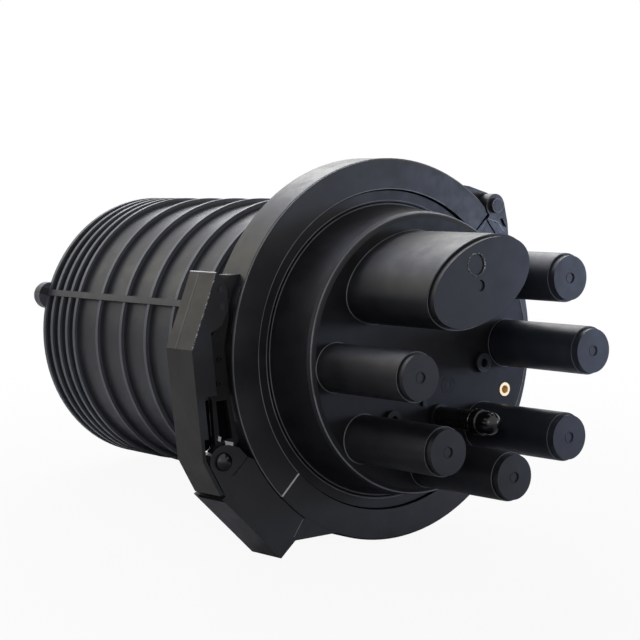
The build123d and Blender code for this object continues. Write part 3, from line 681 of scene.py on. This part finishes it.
def add_block_slot(dark):
    """Dark slot between the lever's lower end and the face of the latch block: a near-black strip of painted
    shade.
    """
    start = from_pivot([(-0.0030, -0.0280)])[0]
    outline = []
    for far, rise in ((0.0001, -SINK), (0.0001, 0.00015), (0.0034, 0.00015), (0.0034, -SINK)):
        y = start[0] + far * BLOCK_ALONG[0] + rise * BLOCK_OUTWARD[0]
        z = start[1] + far * BLOCK_ALONG[1] + rise * BLOCK_OUTWARD[1]
        outline.append((y, z))
    add_piece("block_slot", sheet(outline, RING_REAR + 0.0002, RING_FRONT - 0.0007), dark, "closure")


def add_pivot_head():
    """Round glossy head of the latch's lower pin."""
    radius = 0.0070
    rear = RING_FRONT - SINK
    outline = [(rear, 0.0), (rear, radius)] + domed(RING_FRONT, 0.0040, radius)
    gloss = plastic("head_gloss", (0.004, 0.004, 0.005), 0.2, vary=0.1, grain=0.0, dust=0.0)
    head = add_piece("pivot_head", turned([(PIVOT, outline)], 64), gloss, "closure")
    shade_smooth(head)


# Trim of the link and the lever
def add_link_bosses():
    """Two small bosses on the panel of the link."""
    boss = raised_ring(0.0016, LINK_FRONT, 0.0014, 0.0010)
    outlines = [(centre, boss) for centre in from_pivot([(0.0012, 0.0580), (0.0030, 0.0760)])]
    add_piece("link_bosses", turned(outlines, 32), finish_of("latch_link"), "link")


def add_latch_webs(dark):
    """Dark inner webs behind the windows of the latch, near black as painted shade."""
    front = LINK_FRONT - LATCH_PLATE
    rear = front - 0.0006
    top = 0.0458
    link = from_pivot([(-0.0025, top), (0.0095, top), (0.0130, 0.0140), (-0.0005, 0.0132)])
    add_piece("link_web", sheet(link, rear, front), dark, "link")
    lever = from_pivot([
        (-0.0170, top), (-0.0048, top), (-0.0040, 0.0130), (-0.0085, 0.0085), (-0.0150, 0.0080),
    ])
    add_piece("lever_web", sheet(lever, rear, front), dark, "lever")


def outer_edge(outward):
    """Top and knee of the lever's skin, moved outward."""
    ends = from_pivot([LEVER_TOP, LEVER_KNEE])
    return [(y + outward * LEVER_OUTWARD[0], z + outward * LEVER_OUTWARD[1]) for y, z in ends]


def add_lever_lines(pale):
    """Faint pale line along the lever's upper skin and pale edges at its top and along its front, all painted
    highlights.
    """
    skin = outer_edge(0.0001) + outer_edge(-0.0007)[::-1]
    # Paler strip along the skin's ridge: painted highlight.
    highlight_finish = plastic("lever_ridge_highlight", (0.062, 0.059, 0.053), 0.42, vary=0.3, grain=0.05, dust=0.3)
    add_piece("lever_line", sheet(skin, LEVER_FRONT - 0.0229, LEVER_FRONT - 0.0209), highlight_finish, "lever")
    top_y, top_z = from_pivot([LEVER_TOP])[0]
    edge = [
        (top_y - 0.0004, top_z + 0.0001),
        (top_y + 0.0008, top_z + 0.0006),
        (top_y + 0.0008, top_z - 0.0002),
        (top_y - 0.0004, top_z - 0.0006),
    ]
    add_piece("lever_top_edge", sheet(edge, LEVER_REAR + 0.0002, LEVER_FRONT - 0.0002), pale, "lever")
    # Pale specks along the front edge: painted highlight glints.
    side = outer_edge(0.0002) + outer_edge(-0.0006)[::-1]
    shape = sheet(side, LEVER_FRONT - 0.0004, LEVER_FRONT + 0.0002)
    add_piece("lever_side_edge", shape, chips_and_glints("lever_edge_glints"), "lever")


def add_spring_ends():
    """Bright bent ends of the latch spring beside the hub."""
    ends = [
        [(0.0040, 0.0150), (0.0120, 0.0126), (0.0114, 0.0100), (0.0050, 0.0112)],
        [(-0.0012, 0.0192), (0.0012, 0.0180), (0.0002, 0.0145), (-0.0020, 0.0158)],
        [(-0.0145, 0.0095), (-0.0085, 0.0070), (-0.0088, 0.0052), (-0.0140, 0.0068)],
    ]
    for number, steps in enumerate(ends, 1):
        shape = sheet(from_pivot(steps), LINK_FRONT - SINK, LINK_FRONT + 0.0009)
        add_piece("spring_end_%d" % number, shape, finish_of("latch_spring"), "link")


# Surroundings
def make_floor():
    """Pale plane that the ring and the dome lie on. The camera sees it white, with the shadow."""
    reach = 30.0
    mesh = bpy.data.meshes.new("floor")
    corners = [(-reach, -reach, 0), (reach, -reach, 0), (reach, reach, 0), (-reach, reach, 0)]
    mesh.from_pydata(corners, [], [(0, 1, 2, 3)])
    floor = bpy.data.objects.new("floor", mesh)
    bpy.context.scene.collection.objects.link(floor)
    rise = DOME_BOTTOM[1] - RING_BOTTOM[1]
    slope = math.atan2(rise, RING_BOTTOM[0] - DOME_BOTTOM[0])
    floor.rotation_euler = (0, slope, 0)
    floor.location = (RING_BOTTOM[0], 0, RING_BOTTOM[1] - FLOOR_GAP)
    material = new_material("floor_white")
    tree = Tree(material)
    tree.shader.inputs["Base Color"].default_value = (0.7, 0.7, 0.7, 1)
    tree.shader.inputs["Roughness"].default_value = 0.9
    glow = tree.nodes.new("ShaderNodeEmission")
    glow.inputs["Strength"].default_value = 1.0
    path = tree.nodes.new("ShaderNodeLightPath")
    far = tree.nodes.new("ShaderNodeVectorMath")
    far.operation = "LENGTH"
    tree.join(tree.place, far.inputs[0])
    level = tree.spread(far.outputs["Value"], 0.25, 0.8, 0.93, 1.0)
    share = tree.sum("MULTIPLY", path.outputs["Is Camera Ray"], level)
    mix = tree.nodes.new("ShaderNodeMixShader")
    tree.join(share, mix.inputs["Fac"])
    tree.join(tree.shader.outputs[0], mix.inputs[1])
    tree.join(glow.outputs[0], mix.inputs[2])
    tree.join(mix.outputs[0], tree.nodes["Material Output"].inputs["Surface"])
    mesh.materials.append(material)


def make_world():
    """Even room light, white where the camera sees it and in reflections."""
    world = bpy.data.worlds.new("studio")
    bpy.context.scene.world = world
    world.use_nodes = True
    made = world.node_tree.nodes
    links = world.node_tree.links
    made.clear()
    out = made.new("ShaderNodeOutputWorld")
    soft = made.new("ShaderNodeBackground")
    soft.inputs["Color"].default_value = (0.98, 0.98, 1.0, 1)
    soft.inputs["Strength"].default_value = 0.20
    white = made.new("ShaderNodeBackground")
    white.inputs["Color"].default_value = (1, 1, 1, 1)
    white.inputs["Strength"].default_value = 1.0
    path = made.new("ShaderNodeLightPath")
    seen = path.outputs["Is Camera Ray"]
    for kind in ("Is Glossy Ray", "Is Transmission Ray"):
        either = made.new("ShaderNodeMath")
        either.operation = "MAXIMUM"
        links.new(seen, either.inputs[0])
        links.new(path.outputs[kind], either.inputs[1])
        seen = either.outputs["Value"]
    mix = made.new("ShaderNodeMixShader")
    links.new(seen, mix.inputs["Fac"])
    links.new(soft.outputs[0], mix.inputs[1])
    links.new(white.outputs[0], mix.inputs[2])
    links.new(mix.outputs[0], out.inputs["Surface"])


def lamp(name, place, target, size, power, colour=(1, 1, 1)):
    data = bpy.data.lights.new(name, "AREA")
    data.shape = "RECTANGLE"
    data.size = size[0]
    data.size_y = size[1]
    data.energy = power
    data.color = colour
    item = bpy.data.objects.new(name, data)
    bpy.context.scene.collection.objects.link(item)
    item.visible_camera = False
    item.location = place
    item.rotation_euler = (Vector(target) - Vector(place)).to_track_quat("-Z", "Y").to_euler()


def make_lamps():
    """Soft lamps round the closure: place, aim, size, watts and colour of each."""
    lamp("back", (-1.0, 0.7, 1.0), (-0.15, 0, 0), (1.2, 1.0), 10.8)
    lamp("left", (-1.7, -0.7, 1.2), (-0.15, 0, 0), (1.2, 1.2), 3.3, (1.0, 0.94, 0.7))
    lamp("above", (-0.55, -0.15, 0.9), (-0.3, 0, 0), (0.7, 0.6), 3.0, (0.75, 0.78, 1.0))
    lamp("fill", (1.3, -1.3, 0.65), (0, 0, 0), (0.36, 0.36), 2.2, (0.9, 0.95, 1.0))
    lamp("right", (0.65, 0.85, 0.0), (0.05, 0.05, 0), (0.2, 0.2), 1.9, (0.56, 0.67, 1.0))


make_camera()
dress_nodes()
# Paler finish for the lever's rounded edges: painted highlight, with dust specks
lever_edge_highlight = plastic("lever_edge_highlight", (0.11, 0.11, 0.115), 0.4, vary=0.5, grain=0.02, dust=0.3)
# Pale finish for thin lines along edges and rims: painted highlight
edge_highlight = plastic("edge_highlight", (0.25, 0.255, 0.27), 0.35, vary=0.3, grain=0.02, dust=0.0)
# Near-black finish for gaps, slots, grooves and the latch's webs: painted shade
gap_shade = plastic(
    "gap_shade", (0.001, 0.001, 0.001), 0.8, vary=0.1, grain=0.02, dust=0.0, specular=0.05
)
for rounded in ("base_shell", "clamp_upper", "clamp_lower", "latch_link", "dome_shell"):
    round_edges(rounded)
round_edges("latch_lever", lever_edge_highlight)
add_slit_strip()
add_base_lines(edge_highlight, gap_shade)
add_port_rims()
add_face_mark()
add_link_bosses()
add_latch_webs(gap_shade)
add_lever_lines(edge_highlight)
add_spring_ends()
add_hinge_face(edge_highlight)
add_ring_edges(edge_highlight, gap_shade)
add_block_line(edge_highlight)
add_pivot_head()
add_block_slot(gap_shade)
add_oval_mark()
add_insert_sleeve()
add_valve_cap()
make_floor()
make_world()
make_lamps()
bpy.context.scene.view_settings.view_transform = "Standard"
